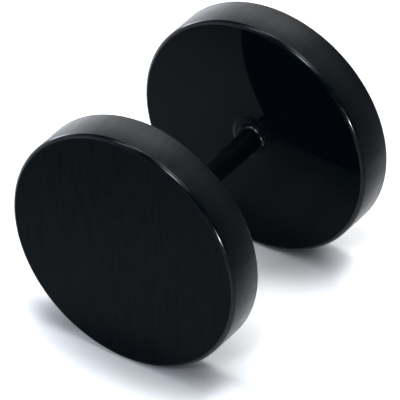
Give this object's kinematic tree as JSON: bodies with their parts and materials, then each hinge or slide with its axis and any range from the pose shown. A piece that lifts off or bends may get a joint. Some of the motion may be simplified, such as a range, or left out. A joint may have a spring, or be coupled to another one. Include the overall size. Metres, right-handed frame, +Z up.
{
  "type": "fake plug earring",
  "caption": "Black barbell-shaped ear stud: round flat discs joined by a thin post, made to look like a stretched-lobe plug; the back disc comes off the post.",
  "frame": {"origin": "on the axis, in the middle of the gap between the discs, which is the middle of the whole earring", "axes": "+Y along the axis from the front disc to the back disc, +Z up as it lies on both rims, +X to the right seen from the front disc"},
  "size_m": [0.01, 0.0104, 0.01],
  "materials": {
    "black_disc": "polished steel under a black hard coating, mirror gloss on the faces and a softer gloss on the rim",
    "black_post": "polished steel wire under a black hard coating"
  },
  "bodies": {
    "front": {"front_disc": "black_disc", "post": "black_post"},
    "back": {"back_disc": "black_disc"}
  },
  "joints": [
    {"name": "back_disc_off", "type": "slide", "parent": "front", "child": "back", "axis": [0, 1, 0], "range_m": [0, 0.012]}
  ]
}
